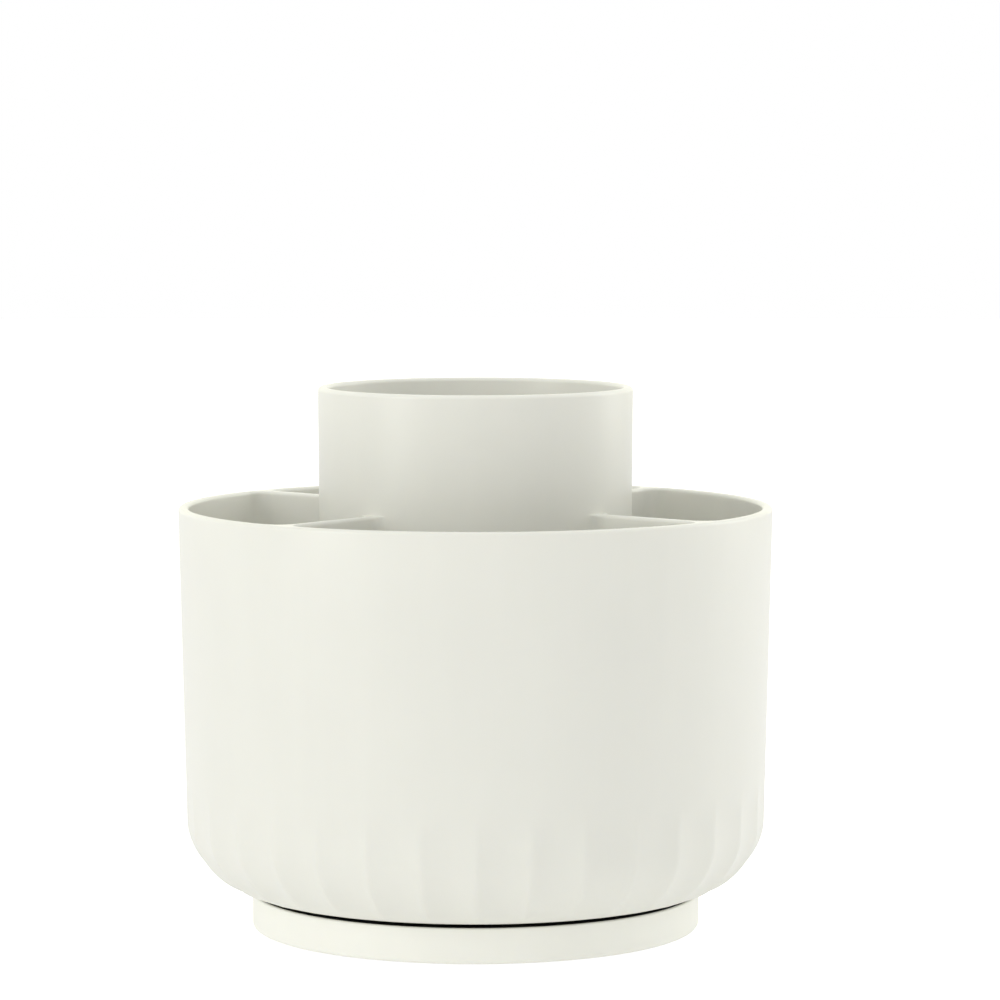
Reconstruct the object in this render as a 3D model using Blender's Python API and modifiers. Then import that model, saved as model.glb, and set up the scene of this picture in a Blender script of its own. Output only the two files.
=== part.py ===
"""Rotating desk caddy: a barrel with a cup and four dividers moulded in one, turning over a low base.

The barrel runs on a ring of caged steel balls and is held down by a screw in a bush on the turning axis.
Units are metres. +Z is up and z = 0 is the table under the rubber pads. Z is the turning axis, -Y the front.
"""

import math

import bmesh
import bpy

MM = 0.001
MERGE_DISTANCE = 0.001 * MM  # vertices this close are made one
CUT_MARGIN = 1.0 * MM  # how far a cutter reaches past the surface it cuts
JOIN_DEPTH = 0.5 * MM  # how far a shape that is joined on reaches into the other

# Driving dimensions
CLEARANCE = 0.3 * MM  # between pieces that touch on the real object
RIM_RADIUS = 65.1 * MM  # outside of the barrel at its rim
RIM_HEIGHT = 93.2 * MM
CUP_HEIGHT = 119.4 * MM
CUP_RADIUS = 34.5 * MM  # outside of the centre cup at its rim
BASE_RADIUS = 49.2 * MM
BASE_HEIGHT = 8.2 * MM
BARREL_BOTTOM = 9.05 * MM

# Barrel
BARREL_WALL = 2.3 * MM
WALL_FOOT_HEIGHT = 24.0 * MM  # where the straight wall meets the rounded foot
WALL_FOOT_RADIUS = 63.5 * MM
FOOT_BOTTOM_RADIUS = 48.5 * MM
FOOT_ROUNDNESS = 1.75  # superellipse exponent of the rounded foot
FLOOR_TOP = 13.1 * MM
FLUTE_COUNT = 34
FLUTE_AT = -90  # the angle of one flute's middle: the front
FLUTE_DEPTH = 0.45 * MM
FLUTE_TOP = 34.5 * MM  # the flutes run out into the plain wall here
FLUTE_FULL = 31.0 * MM  # and have their full depth from here down
FLUTE_FOOT_FADE = 3.0 * MM  # over which they fade out again at the underside
RIM_LIP = 0.5 * MM  # chamfer along the rims of the barrel and the cup
FOOT_STEPS = 6  # facets down the rounded foot
SEGMENTS_PER_FLUTE = 4

# Pivot on the axis
SPIGOT_RADIUS = 5.0 * MM
SPIGOT_TOP = 19.5 * MM
PIVOT_SHANK_RADIUS = 2.0 * MM
PIVOT_SHANK_TOP = 17.0 * MM
PIVOT_HEAD_RADIUS = 4.0 * MM
PIVOT_HEAD_BOTTOM = 2.5 * MM
PIVOT_HEAD_TOP = 4.0 * MM
PIVOT_SCREW_POINT = 1.0 * MM  # length of its tapered tip
WASHER_RADIUS = 6.5 * MM
WASHER_TOP = 4.8 * MM
BUSH_RADIUS = 4.0 * MM
BUSH_BORE = 2.3 * MM
BUSH_FLANGE_RADIUS = 6.8 * MM
BUSH_FLANGE_TOP = 5.9 * MM
BOSS_RADIUS = 8.0 * MM
BOSS_TOP = 8.7 * MM

# Ball bearing
BALL_COUNT = 12
BALL_RADIUS = 2.0 * MM
BALL_CIRCLE = 30.0 * MM
BALL_HEIGHT = 8.6 * MM
GROOVE_RADIUS = 2.3 * MM
RACE_HALF_WIDTH = 3.5 * MM
LOWER_RACE_BOTTOM = 5.4 * MM
LOWER_RACE_TOP = 7.5 * MM
UPPER_RACE_BOTTOM = 9.7 * MM
UPPER_RACE_TOP = 11.8 * MM
CAGE_HALF_WIDTH = 3.2 * MM
CAGE_BOTTOM = 8.0 * MM
CAGE_TOP = 9.2 * MM
CAGE_POCKET = 2.3 * MM

# Cup and dividers, which are part of the barrel
CUP_WALL = 2.2 * MM
CUP_DRAFT = 0.9 * MM  # how much narrower the cup is at the floor than at its rim
DIVIDER_THICKNESS = 2.0 * MM
DIVIDER_TOP = 93.0 * MM
DIVIDER_ANGLES = (45, 135, 225, 315)

# Base
SKIRT_BOTTOM = 0.4 * MM
SKIRT_WALL = 2.4 * MM
DECK_UNDERSIDE = 5.3 * MM
RACE_POCKET_UNDERSIDE = 3.7 * MM
COVER_BOTTOM = 1.0 * MM
COVER_TOP = 2.2 * MM
COVER_SCREW_CIRCLE = 41.0 * MM
COVER_SCREW_ANGLES = (0, 90, 180, 270)
COVER_BOSS_RADIUS = 3.0 * MM
COVER_SCREW_SHANK = 0.8 * MM
COVER_SCREW_HEAD = 1.9 * MM
COVER_SCREW_TIP = 5.8 * MM
PAD_CIRCLE = 39.0 * MM
PAD_ANGLES = (45, 135, 225, 315)
PAD_RADIUS = 5.5 * MM
PAD_THICKNESS = 1.0 * MM

# Facets round a full turn
FLUTED_SEGMENTS = FLUTE_COUNT * SEGMENTS_PER_FLUTE
WIDE_SEGMENTS = 64
RACE_SEGMENTS = 40
SMALL_SEGMENTS = 24
SCREW_SEGMENTS = 12
BALL_SEGMENTS = 10
CAGE_SEGMENTS = 3 * BALL_COUNT
BALL_ANGLES = [ball * 360 / BALL_COUNT for ball in range(BALL_COUNT)]

# Colour, roughness and metallic value of each material
IVORY = ("ivory_plastic", (0.91, 0.90, 0.84), 0.28, 0.0)
STEEL = ("steel", (0.62, 0.63, 0.64), 0.30, 1.0)
NYLON = ("nylon", (0.80, 0.80, 0.76), 0.50, 0.0)
RUBBER = ("rubber", (0.05, 0.05, 0.05), 0.85, 0.0)


def clear_scene():
    for old in list(bpy.data.objects):
        bpy.data.objects.remove(old)


def new_collection(name):
    collection = bpy.data.collections.new(name)
    bpy.context.scene.collection.children.link(collection)
    return collection


def material_of(kind):
    name, colour, roughness, metallic = kind
    material = bpy.data.materials.get(name)
    if material is None:
        material = bpy.data.materials.new(name)
        material.use_nodes = True
        shader = material.node_tree.nodes["Principled BSDF"]
        shader.inputs["Base Color"].default_value = (*colour, 1.0)
        shader.inputs["Roughness"].default_value = roughness
        shader.inputs["Metallic"].default_value = metallic
    return material


def as_part(obj, kind):
    """Puts the object among the caddy's parts and gives it its material."""
    parts.objects.link(obj)
    obj.data.materials.clear()
    obj.data.materials.append(material_of(kind))
    return obj


def as_cutter(obj):
    """Puts the object among the cutters, which aren't part of the caddy."""
    cutters.objects.link(obj)
    obj.hide_render = True
    obj.display_type = "WIRE"
    return obj


def shade(mesh):
    mesh.shade_smooth()
    mesh.set_sharp_from_angle(angle=math.radians(35))


def realised(obj):
    """The object's evaluated mesh as a plain mesh object, in place of the object."""
    graph = bpy.context.evaluated_depsgraph_get()
    name, matrix = obj.name, obj.matrix_world.copy()
    mesh = bpy.data.meshes.new_from_object(obj.evaluated_get(graph))
    cleaned = bmesh.new()
    cleaned.from_mesh(mesh)
    bmesh.ops.remove_doubles(cleaned, verts=cleaned.verts, dist=MERGE_DISTANCE)
    cleaned.to_mesh(mesh)
    cleaned.free()
    bpy.data.objects.remove(obj)
    mesh.name = name
    plain = bpy.data.objects.new(name, mesh)
    plain.matrix_world = matrix
    return plain


def turned(name, profile, segments, closed=True, start=None):
    """A turned piece, from a profile of (radius, height) points that runs down the outer side.

    An open profile starts and ends on the axis. The first facet starts half a facet back, so that a hole or
    boss on the X or Y axis meets the middle of a facet and not an edge.
    """
    if start is None:
        start = -math.pi / segments
    points = [(radius * math.cos(start), radius * math.sin(start), height) for radius, height in profile]
    edges = [(i, i + 1) for i in range(len(points) - 1)]
    if closed:
        edges.append((len(points) - 1, 0))
    mesh = bpy.data.meshes.new(name)
    mesh.from_pydata(points, edges, [])
    obj = bpy.data.objects.new(name, mesh)
    screw = obj.modifiers.new("turn", "SCREW")
    screw.angle = math.tau
    screw.steps = segments
    screw.render_steps = segments
    screw.use_merge_vertices = True
    screw.merge_threshold = MERGE_DISTANCE
    screw.use_smooth_shade = True
    return obj


def make_plain(obj, place):
    """Links the object with place(obj), and makes its modifiers real."""
    place(obj)
    bpy.context.view_layer.update()
    plain = realised(obj)
    place(plain)
    shade(plain.data)
    return plain


def turned_part(name, profile, segments, kind, closed=True, start=None):
    return make_plain(turned(name, profile, segments, closed, start), lambda obj: as_part(obj, kind))


def turned_cutter(name, profile, segments, closed=False):
    return make_plain(turned(name, profile, segments, closed), as_cutter)


def cylinder_profile(radius, bottom, top):
    """An open profile of a solid cylinder, from the axis down its side and back to the axis."""
    return [(0, top), (radius, top), (radius, bottom), (0, bottom)]


def ring_profile(inner, outer, bottom, top):
    return [(outer, top), (outer, bottom), (inner, bottom), (inner, top)]


def arc(centre, radius, start, end, steps):
    """Points on a circular arc, angles in degrees from the +radius direction."""
    angles = [math.radians(start + (end - start) * i / steps) for i in range(steps + 1)]
    return [(centre[0] + radius * math.cos(a), centre[1] + radius * math.sin(a)) for a in angles]


def cut(target, cutter, operation="DIFFERENCE"):
    modifier = target.modifiers.new(f"{operation.lower()}_{cutter.name}", "BOOLEAN")
    modifier.operation = operation
    modifier.object = cutter


def place_round(obj, circle, degrees):
    """Moves an object modelled on the axis out to its place on a circle round the axis."""
    angle = math.radians(degrees)
    obj.location = (circle * math.cos(angle), circle * math.sin(angle), 0.0)
    obj.rotation_euler = (0.0, 0.0, angle)
    return obj


def copies(make_first, name, angles, circle, kind):
    """One turned piece, copied round a circle. The copies share its mesh."""
    first = make_first(f"{name}_1")
    for number, degrees in enumerate(angles, start=1):
        obj = first
        if number > 1:
            obj = bpy.data.objects.new(f"{name}_{number}", first.data)
            as_part(obj, kind)
        place_round(obj, circle, degrees)


def under(parent_name, *names):
    """Parents the named parts to an empty on the turning axis."""
    parent = bpy.data.objects.get(parent_name)
    if parent is None:
        parent = bpy.data.objects.new(parent_name, None)
        parts.objects.link(parent)
    for name in names:
        bpy.data.objects[name].parent = parent


# Barrel -------------------------------------------------------------------------------------------


def wall_radius(height):
    """Outside radius of the barrel's straight, slightly drafted wall."""
    share = (height - WALL_FOOT_HEIGHT) / (RIM_HEIGHT - WALL_FOOT_HEIGHT)
    return WALL_FOOT_RADIUS + share * (RIM_RADIUS - WALL_FOOT_RADIUS)


def foot_point(share, inset=0.0, floor=BARREL_BOTTOM):
    """A point on the rounded foot, from the wall at share 0 to the underside at share 1, inset from it."""
    width = WALL_FOOT_RADIUS - FOOT_BOTTOM_RADIUS - inset
    height = WALL_FOOT_HEIGHT - floor
    angle = share * math.pi / 2
    radius = FOOT_BOTTOM_RADIUS + width * math.cos(angle) ** (2 / FOOT_ROUNDNESS)
    return radius, WALL_FOOT_HEIGHT - height * math.sin(angle) ** (2 / FOOT_ROUNDNESS)


def inside_profile(depth=0.0):
    """The barrel's inside from its floor up to its rim, moved out into the material by a depth."""
    steps = 4
    inset = BARREL_WALL - depth
    corner = [foot_point(1 - step / steps, inset, FLOOR_TOP - depth) for step in range(steps + 1)]
    return [*corner, (wall_radius(RIM_HEIGHT) - inset, RIM_HEIGHT)]


def flute_share(degrees):
    """How far across its depth a flute is at this angle: 0 on the ridges and 1 along the middle."""
    from_front = degrees - FLUTE_AT
    across = (from_front * FLUTE_COUNT / 360 + 0.5) % 1 - 0.5
    return 1 - (2 * across) ** 2


def flute_fade(height):
    """The flutes' share of full depth at this height: none on the plain wall, a little at the underside."""
    rise = min(max((FLUTE_TOP - height) / (FLUTE_TOP - FLUTE_FULL), 0), 1)
    fall = min(max((height - BARREL_BOTTOM) / FLUTE_FOOT_FADE, 0), 1)
    return rise * rise * (3 - 2 * rise) * fall


def flute(mesh):
    """Sinks the flutes into the outside of the barrel, along the wall's normals."""
    moves = []
    for vertex in mesh.vertices:
        x, y, height = vertex.co
        radius = math.hypot(x, y)
        outward = (vertex.normal.x * x + vertex.normal.y * y) / max(radius, MM)
        outside = outward > 0.1 and radius > FOOT_BOTTOM_RADIUS
        if outside and height < FLUTE_TOP:
            depth = FLUTE_DEPTH * flute_share(math.degrees(math.atan2(y, x))) * flute_fade(height)
            moves.append((vertex.index, vertex.co - vertex.normal * depth))
    for index, place in moves:
        mesh.vertices[index].co = place


def make_barrel():
    inside = inside_profile()
    inner_rim = inside.pop()[0]
    profile = [(0, FLOOR_TOP), *inside]
    profile += [(inner_rim, RIM_HEIGHT - RIM_LIP), (inner_rim + RIM_LIP, RIM_HEIGHT)]
    profile += [(RIM_RADIUS - RIM_LIP, RIM_HEIGHT)]
    wall_heights = (RIM_HEIGHT - RIM_LIP, FLUTE_TOP, (FLUTE_TOP + FLUTE_FULL) / 2, FLUTE_FULL)
    profile += [(wall_radius(height), height) for height in wall_heights]
    profile += [foot_point(step / FOOT_STEPS) for step in range(FOOT_STEPS + 1)]
    profile += [(0, BARREL_BOTTOM)]
    barrel = turned_part("barrel", profile, FLUTED_SEGMENTS, IVORY, closed=False, start=0.0)
    flute(barrel.data)
    spigot = cylinder_profile(SPIGOT_RADIUS, FLOOR_TOP - JOIN_DEPTH, SPIGOT_TOP)
    cut(barrel, turned_cutter("spigot", spigot, SMALL_SEGMENTS), "UNION")
    cut(barrel, turned_cutter("cup", cup_profile(), WIDE_SEGMENTS, closed=True), "UNION")
    for degrees in DIVIDER_ANGLES:
        cut(barrel, make_divider(f"divider_{degrees}", degrees), "UNION")
    below = BARREL_BOTTOM - CUT_MARGIN
    pocket_inner = BALL_CIRCLE - RACE_HALF_WIDTH - CLEARANCE
    pocket_outer = BALL_CIRCLE + RACE_HALF_WIDTH + CLEARANCE
    pocket = ring_profile(pocket_inner, pocket_outer, below, UPPER_RACE_TOP + CLEARANCE)
    cut(barrel, turned_cutter("upper_race_pocket", pocket, RACE_SEGMENTS, closed=True))
    pilot = cylinder_profile(PIVOT_SHANK_RADIUS + CLEARANCE, below, PIVOT_SHANK_TOP + CLEARANCE)
    cut(barrel, turned_cutter("pivot_pilot", pilot, SCREW_SEGMENTS))


def cup_profile():
    """The centre cup's wall, from its rim down into the barrel's floor."""
    bottom = FLOOR_TOP - JOIN_DEPTH
    outer_foot = CUP_RADIUS - CUP_DRAFT
    inner_rim = CUP_RADIUS - CUP_WALL
    profile = [(CUP_RADIUS - RIM_LIP, CUP_HEIGHT), (CUP_RADIUS, CUP_HEIGHT - RIM_LIP), (outer_foot, bottom)]
    profile += [(outer_foot - CUP_WALL, bottom), (inner_rim, CUP_HEIGHT - RIM_LIP)]
    profile += [(inner_rim + RIM_LIP, CUP_HEIGHT)]
    return profile


def make_divider(name, degrees):
    """One upright divider, from the cup's wall out into the barrel's wall: a flat outline stood on edge."""
    root = CUP_RADIUS - CUP_DRAFT - CUP_WALL / 2
    *inside, wall_top = inside_profile(JOIN_DEPTH)
    corners = [(root, FLOOR_TOP - JOIN_DEPTH), *inside, (wall_top[0], DIVIDER_TOP), (root, DIVIDER_TOP)]
    curve = bpy.data.curves.new(name, "CURVE")
    curve.dimensions = "2D"
    curve.fill_mode = "BOTH"
    curve.extrude = DIVIDER_THICKNESS / 2
    outline = curve.splines.new("POLY")
    outline.points.add(len(corners) - 1)
    for point, (radius, height) in zip(outline.points, corners):
        point.co = (radius, height, 0.0, 1.0)
    outline.use_cyclic_u = True
    divider = bpy.data.objects.new(name, curve)
    divider.rotation_euler = (math.pi / 2, 0.0, math.radians(degrees))
    return make_plain(divider, as_cutter)


# Base ---------------------------------------------------------------------------------------------


def make_base_shell():
    rounding = 1.2 * MM
    edge = 0.4 * MM
    pocket_inner = BALL_CIRCLE - RACE_HALF_WIDTH - CLEARANCE
    pocket_outer = BALL_CIRCLE + RACE_HALF_WIDTH + CLEARANCE
    pocket_floor = LOWER_RACE_BOTTOM - CLEARANCE
    wall = 1.7 * MM
    bore = BUSH_RADIUS + CLEARANCE
    flange_seat = BUSH_FLANGE_TOP + CLEARANCE
    flange_radius = BUSH_FLANGE_RADIUS + CLEARANCE
    skirt_inner = BASE_RADIUS - SKIRT_WALL
    profile = [(bore, BOSS_TOP), (BOSS_RADIUS, BOSS_TOP), (BOSS_RADIUS, BASE_HEIGHT)]
    profile += [(pocket_inner, BASE_HEIGHT), (pocket_inner, pocket_floor)]
    profile += [(pocket_outer, pocket_floor), (pocket_outer, BASE_HEIGHT)]
    profile += [(BASE_RADIUS - edge, BASE_HEIGHT), (BASE_RADIUS, BASE_HEIGHT - edge)]
    profile += arc((BASE_RADIUS - rounding, SKIRT_BOTTOM + rounding), rounding, 0, -90, 3)
    profile += [(skirt_inner, SKIRT_BOTTOM), (skirt_inner, DECK_UNDERSIDE)]
    profile += [(pocket_outer + wall, DECK_UNDERSIDE), (pocket_outer + wall, RACE_POCKET_UNDERSIDE)]
    profile += [(pocket_inner - wall, RACE_POCKET_UNDERSIDE), (pocket_inner - wall, DECK_UNDERSIDE)]
    profile += [(flange_radius, DECK_UNDERSIDE), (flange_radius, flange_seat), (bore, flange_seat)]
    base = turned_part("base_shell", profile, WIDE_SEGMENTS, IVORY)
    boss = cylinder_profile(COVER_BOSS_RADIUS, COVER_TOP + CLEARANCE, DECK_UNDERSIDE + CLEARANCE)
    pilot = cylinder_profile(COVER_SCREW_SHANK + CLEARANCE, COVER_TOP, COVER_SCREW_TIP + CLEARANCE)
    for degrees in COVER_SCREW_ANGLES:
        column = turned_cutter(f"cover_boss_{degrees}", boss, SCREW_SEGMENTS)
        cut(base, place_round(column, COVER_SCREW_CIRCLE, degrees), "UNION")
    for degrees in COVER_SCREW_ANGLES:
        cutter = turned_cutter(f"cover_screw_pilot_{degrees}", pilot, SCREW_SEGMENTS)
        cut(base, place_round(cutter, COVER_SCREW_CIRCLE, degrees))


def countersunk_profile(radius_grows, below, tip):
    """A countersunk screw from its flush head up to its tip, grown by radius_grows."""
    head = COVER_SCREW_HEAD + radius_grows
    shank = COVER_SCREW_SHANK + radius_grows
    head_edge = COVER_BOTTOM + 0.1 * MM
    neck = COVER_BOTTOM + 0.9 * MM
    return [(0, tip), (shank, tip), (shank, neck), (head, head_edge), (head, below), (0, below)]


def make_base_cover():
    profile = cylinder_profile(BASE_RADIUS - SKIRT_WALL - CLEARANCE, COVER_BOTTOM, COVER_TOP)
    cover = turned_part("base_cover", profile, WIDE_SEGMENTS, NYLON, closed=False)
    hole = countersunk_profile(CLEARANCE, COVER_BOTTOM - CUT_MARGIN, COVER_TOP + CUT_MARGIN)
    seat = cylinder_profile(PAD_RADIUS + CLEARANCE, COVER_BOTTOM - CUT_MARGIN, PAD_THICKNESS + CLEARANCE)
    for degrees in COVER_SCREW_ANGLES:
        cutter = turned_cutter(f"cover_screw_hole_{degrees}", hole, SCREW_SEGMENTS)
        cut(cover, place_round(cutter, COVER_SCREW_CIRCLE, degrees))
    for degrees in PAD_ANGLES:
        cutter = turned_cutter(f"pad_seat_{degrees}", seat, SMALL_SEGMENTS)
        cut(cover, place_round(cutter, PAD_CIRCLE, degrees))


def make_foot_pads():
    edge = 0.3 * MM
    profile = [(0, PAD_THICKNESS), (PAD_RADIUS, PAD_THICKNESS), (PAD_RADIUS, edge), (PAD_RADIUS - edge, 0)]
    profile += [(0, 0)]
    copies(
        lambda name: turned_part(name, profile, SMALL_SEGMENTS, RUBBER, closed=False),
        "foot_pad", PAD_ANGLES, PAD_CIRCLE, RUBBER,
    )


def make_cover_screws():
    profile = countersunk_profile(0.0, COVER_BOTTOM, COVER_SCREW_TIP)
    copies(
        lambda name: turned_part(name, profile, SCREW_SEGMENTS, STEEL, closed=False),
        "cover_screw", COVER_SCREW_ANGLES, COVER_SCREW_CIRCLE, STEEL,
    )


# Pivot and bearing --------------------------------------------------------------------------------


def make_pivot():
    crown = 0.7 * MM
    screw = [(0, PIVOT_SHANK_TOP), (PIVOT_SHANK_RADIUS, PIVOT_SHANK_TOP - PIVOT_SCREW_POINT)]
    screw += [(PIVOT_SHANK_RADIUS, PIVOT_HEAD_TOP), (PIVOT_HEAD_RADIUS, PIVOT_HEAD_TOP)]
    screw += [(PIVOT_HEAD_RADIUS, PIVOT_HEAD_BOTTOM + crown), (PIVOT_HEAD_RADIUS - crown, PIVOT_HEAD_BOTTOM)]
    screw += [(0, PIVOT_HEAD_BOTTOM)]
    turned_part("pivot_screw", screw, SMALL_SEGMENTS, STEEL, closed=False)
    bore = PIVOT_SHANK_RADIUS + CLEARANCE
    washer = ring_profile(bore, WASHER_RADIUS, PIVOT_HEAD_TOP + CLEARANCE, WASHER_TOP)
    turned_part("pivot_washer", washer, SMALL_SEGMENTS, STEEL)
    bush = [(BUSH_RADIUS, BOSS_TOP), (BUSH_RADIUS, BUSH_FLANGE_TOP), (BUSH_FLANGE_RADIUS, BUSH_FLANGE_TOP)]
    flange_bottom = WASHER_TOP + CLEARANCE
    bush += [(BUSH_FLANGE_RADIUS, flange_bottom), (BUSH_BORE, flange_bottom), (BUSH_BORE, BOSS_TOP)]
    turned_part("pivot_bush", bush, SMALL_SEGMENTS, NYLON)


def make_races():
    """Two flat rings, each with a round groove whose centre line is the balls' circle."""
    inner, outer = BALL_CIRCLE - RACE_HALF_WIDTH, BALL_CIRCLE + RACE_HALF_WIDTH
    centre = (BALL_CIRCLE, BALL_HEIGHT)
    steps = 4
    half = math.degrees(math.acos((BALL_HEIGHT - LOWER_RACE_TOP) / GROOVE_RADIUS))
    groove = arc(centre, GROOVE_RADIUS, -90 - half, -90 + half, steps)
    lower = [(inner, LOWER_RACE_TOP), *groove, (outer, LOWER_RACE_TOP), (outer, LOWER_RACE_BOTTOM)]
    lower += [(inner, LOWER_RACE_BOTTOM)]
    turned_part("lower_race", lower, RACE_SEGMENTS, STEEL)
    half = math.degrees(math.acos((UPPER_RACE_BOTTOM - BALL_HEIGHT) / GROOVE_RADIUS))
    groove = arc(centre, GROOVE_RADIUS, 90 - half, 90 + half, steps)
    upper = [(outer, UPPER_RACE_TOP), (outer, UPPER_RACE_BOTTOM), *groove, (inner, UPPER_RACE_BOTTOM)]
    upper += [(inner, UPPER_RACE_TOP)]
    turned_part("upper_race", upper, RACE_SEGMENTS, STEEL)


def make_ball_cage():
    ring = ring_profile(BALL_CIRCLE - CAGE_HALF_WIDTH, BALL_CIRCLE + CAGE_HALF_WIDTH, CAGE_BOTTOM, CAGE_TOP)
    cage = turned_part("ball_cage", ring, CAGE_SEGMENTS, NYLON)
    pocket = cylinder_profile(CAGE_POCKET, CAGE_BOTTOM - CUT_MARGIN, CAGE_TOP + CUT_MARGIN)
    for number, degrees in enumerate(BALL_ANGLES, start=1):
        cutter = turned_cutter(f"cage_pocket_{number}", pocket, SCREW_SEGMENTS)
        cut(cage, place_round(cutter, BALL_CIRCLE, degrees))


def make_balls():
    rings = BALL_SEGMENTS // 2 + 1
    bpy.ops.mesh.primitive_uv_sphere_add(segments=BALL_SEGMENTS, ring_count=rings, radius=BALL_RADIUS)
    first = bpy.context.object
    mesh = first.data
    bpy.data.objects.remove(first)
    mesh.name = "ball"
    shade(mesh)
    for number, degrees in enumerate(BALL_ANGLES, start=1):
        ball = as_part(bpy.data.objects.new(f"ball_{number:02d}", mesh), STEEL)
        place_round(ball, BALL_CIRCLE, degrees)
        ball.location.z = BALL_HEIGHT


def group_by_motion():
    """Parents the turning parts to one empty and the bearing's rolling parts to another, both on the axis."""
    balls = [f"ball_{number:02d}" for number in range(1, BALL_COUNT + 1)]
    under("turning", "barrel", "upper_race", "pivot_screw", "pivot_washer")
    under("rolling", "ball_cage", *balls)


clear_scene()
parts = new_collection("rotating_caddy")
cutters = new_collection("cutters")
make_barrel()
make_base_shell()
make_base_cover()
make_foot_pads()
make_cover_screws()
make_pivot()
make_races()
make_ball_cage()
make_balls()
group_by_motion()
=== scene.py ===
"""The looks of the rotating desk caddy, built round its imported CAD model."""

import math

import bmesh
import bpy
from mathutils import Matrix, Vector


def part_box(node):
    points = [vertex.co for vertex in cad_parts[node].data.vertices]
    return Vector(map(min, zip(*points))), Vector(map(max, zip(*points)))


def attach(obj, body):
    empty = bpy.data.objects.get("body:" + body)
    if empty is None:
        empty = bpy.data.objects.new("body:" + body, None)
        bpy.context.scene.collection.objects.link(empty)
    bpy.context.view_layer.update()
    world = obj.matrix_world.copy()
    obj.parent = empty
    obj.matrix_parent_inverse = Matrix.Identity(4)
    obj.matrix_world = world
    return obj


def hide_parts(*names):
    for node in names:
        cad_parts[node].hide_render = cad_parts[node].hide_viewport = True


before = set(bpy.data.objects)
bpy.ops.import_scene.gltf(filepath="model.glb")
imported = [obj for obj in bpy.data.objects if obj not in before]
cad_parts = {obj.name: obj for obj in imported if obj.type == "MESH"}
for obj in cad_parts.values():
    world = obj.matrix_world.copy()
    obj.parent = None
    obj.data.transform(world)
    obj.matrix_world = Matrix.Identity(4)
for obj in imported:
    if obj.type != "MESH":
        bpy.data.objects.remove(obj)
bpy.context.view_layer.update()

MM = 0.001
MERGE_DISTANCE = 0.0005 * MM
SHARP_ANGLE = math.radians(38)

# Barrel: the sizes that its box doesn't give
RIM_HEIGHT = 93.2 * MM
RIM_ROUNDING = 0.75 * MM
BARREL_WALL = 2.3 * MM
BARREL_DRAFT = 1.6 * MM  # how much the straight wall narrows from the rim down to the rounded foot
FOOT_HEIGHT = 24.0 * MM  # where the rounded foot starts
FOOT_BOTTOM_RADIUS = 48.5 * MM
FOOT_ROUNDNESS = 1.75  # superellipse exponent of the foot's outline
FLOOR_TOP = 13.1 * MM
FLUTES = 34
FLUTE_AT = -math.pi / 2  # the angle of one flute's middle
FLUTE_DEPTH = 0.6 * MM
FLUTE_TOP = 35.0 * MM  # where the flutes start
FLUTE_FULL = 28.0 * MM  # and from where down they are at full depth
FLUTE_FOOT_FADE = 3.0 * MM  # they fade out again over this height above the underside
FLUTE_FOOT_GAIN = 0.5  # how much deeper the flutes get on the foot
SAMPLES_PER_FLUTE = 16

# Centre cup and the four outer compartments
CUP_RADIUS = 34.5 * MM
CUP_WALL = 2.2 * MM
CUP_DRAFT = 0.9 * MM  # how much the cup narrows from its rim down to the floor
COMPARTMENTS = 4
DIVIDER_THICKNESS = 2.0 * MM
DIVIDER_DRAFT = 0.2 * MM  # how much thicker half a divider is at the floor
INNER_CORNER = 3.0 * MM  # rounding where a divider meets the cup
OUTER_CORNER = 4.0 * MM  # and where it meets the barrel's wall
FLOOR_FILLET = 2.5 * MM
SPIGOT_RADIUS = 5.0 * MM
SPIGOT_TOP = 19.5 * MM
CUP_ARC_STEPS = 26  # facets along half of a compartment's side of the cup
DIVIDER_ROOT_STEPS = 8  # facets of the cup between two compartments

# Under the barrel
PIVOT_PILOT_RADIUS = 2.3 * MM
PIVOT_PILOT_TOP = 17.3 * MM

# Base
BASE_TOP = 8.2 * MM
BASE_ROUNDING = 1.2 * MM
SKIRT_WALL = 2.4 * MM
DECK_UNDERSIDE = 5.3 * MM
POCKET_WALL = 1.7 * MM
BUSH_BOSS_RADIUS = 8.0 * MM
BUSH_FLANGE_TOP = 5.9 * MM
BUSH_SLEEVE_RADIUS = 4.0 * MM
COVER_BOSS_RADIUS = 3.0 * MM
FIT_GAP = 0.3 * MM  # between a piece and the seat that it sits in, and how far a cutter reaches out
OFF_GRID = math.radians(1.7)  # turns what is cut or joined, so that no two edges lie exactly on each other

# Screws: crest radius, core radius and pitch of their threads
COVER_SCREW_CREST = 1.0 * MM
COVER_SCREW_CORE = 0.75 * MM
COVER_SCREW_PITCH = 0.8 * MM
PIVOT_CREST = 2.25 * MM
PIVOT_CORE = 1.75 * MM
PIVOT_PITCH = 1.3 * MM

BALL_COUNT = 12

# Plastics
BARREL_IVORY = (0.835, 0.835, 0.772)
# painted light: the barrel's ivory made about an eighth lighter, so that the base looks as brightly lit as
# the barrel's wall in spite of the shade under the barrel's foot
PAINTED_LIGHT_BASE_IVORY = (0.94, 0.94, 0.872)
# Painted shade: the faces in the gap between barrel and base are painted near-black, out to this radius.
GAP_SHADE_EDGE = 48.45 * MM  # how far out the painted shade between barrel and base reaches
GAP_SHADE_FADE = 0.05 * MM  # how far above or below the gap it ends
GAP_SHADE = (0.012, 0.012, 0.011)

# Light
WORLD_LIGHT = 0.75  # diffuse light from all round
WORLD_REFLECTED = 1.4  # what shiny surfaces reflect
WORLD_SEEN = 1.0  # what the camera sees
WHITE = (1.0, 1.0, 1.0)
FLOOR_GREY = 0.70
FLOOR_BOUNCE = 0.31  # what the floor gives off besides the light that it sends back
FLOOR_SEEN = 0.8  # and what the camera sees of that

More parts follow.
